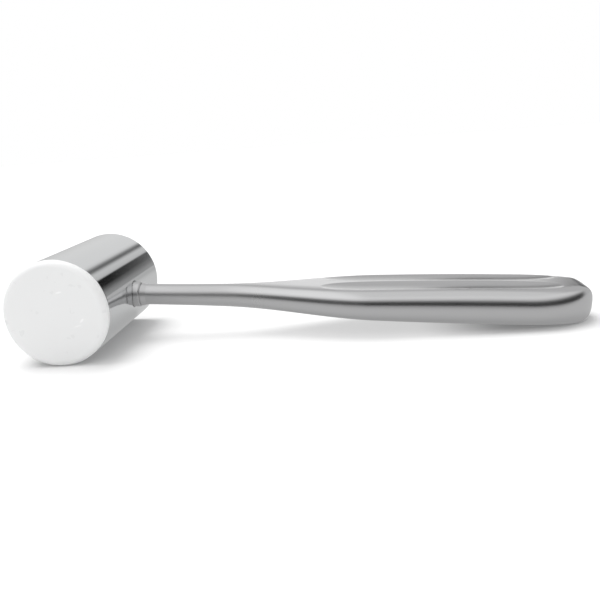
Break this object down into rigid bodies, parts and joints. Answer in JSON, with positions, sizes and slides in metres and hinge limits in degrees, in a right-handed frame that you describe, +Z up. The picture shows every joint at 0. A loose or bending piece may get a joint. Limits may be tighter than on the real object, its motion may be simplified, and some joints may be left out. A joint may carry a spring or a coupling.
{
  "type": "surgical mallet",
  "caption": "Surgical mallet: polished steel cylinder head with a white polymer pad on one end, and a satin steel handle whose round shaft widens into a flat fluted grip.",
  "frame": {"origin": "centre of the steel striking face, on the head's axis", "axes": "+Y out of the steel striking face along the head's axis, +X from the head towards the end of the handle, +Z up as the mallet lies on a table with the head on its side and the grip's nose touching, 20 mm below the origin"},
  "size_m": [0.2205, 0.0685, 0.04],
  "materials": {
    "polished_steel": "mirror polished stainless steel",
    "white_polymer": "smooth semi-gloss white polymer",
    "satin_steel": "satin ground stainless steel"
  },
  "bodies": {
    "root": {"head": "polished_steel", "striking_pad": "white_polymer", "handle": "satin_steel"}
  },
  "joints": []
}
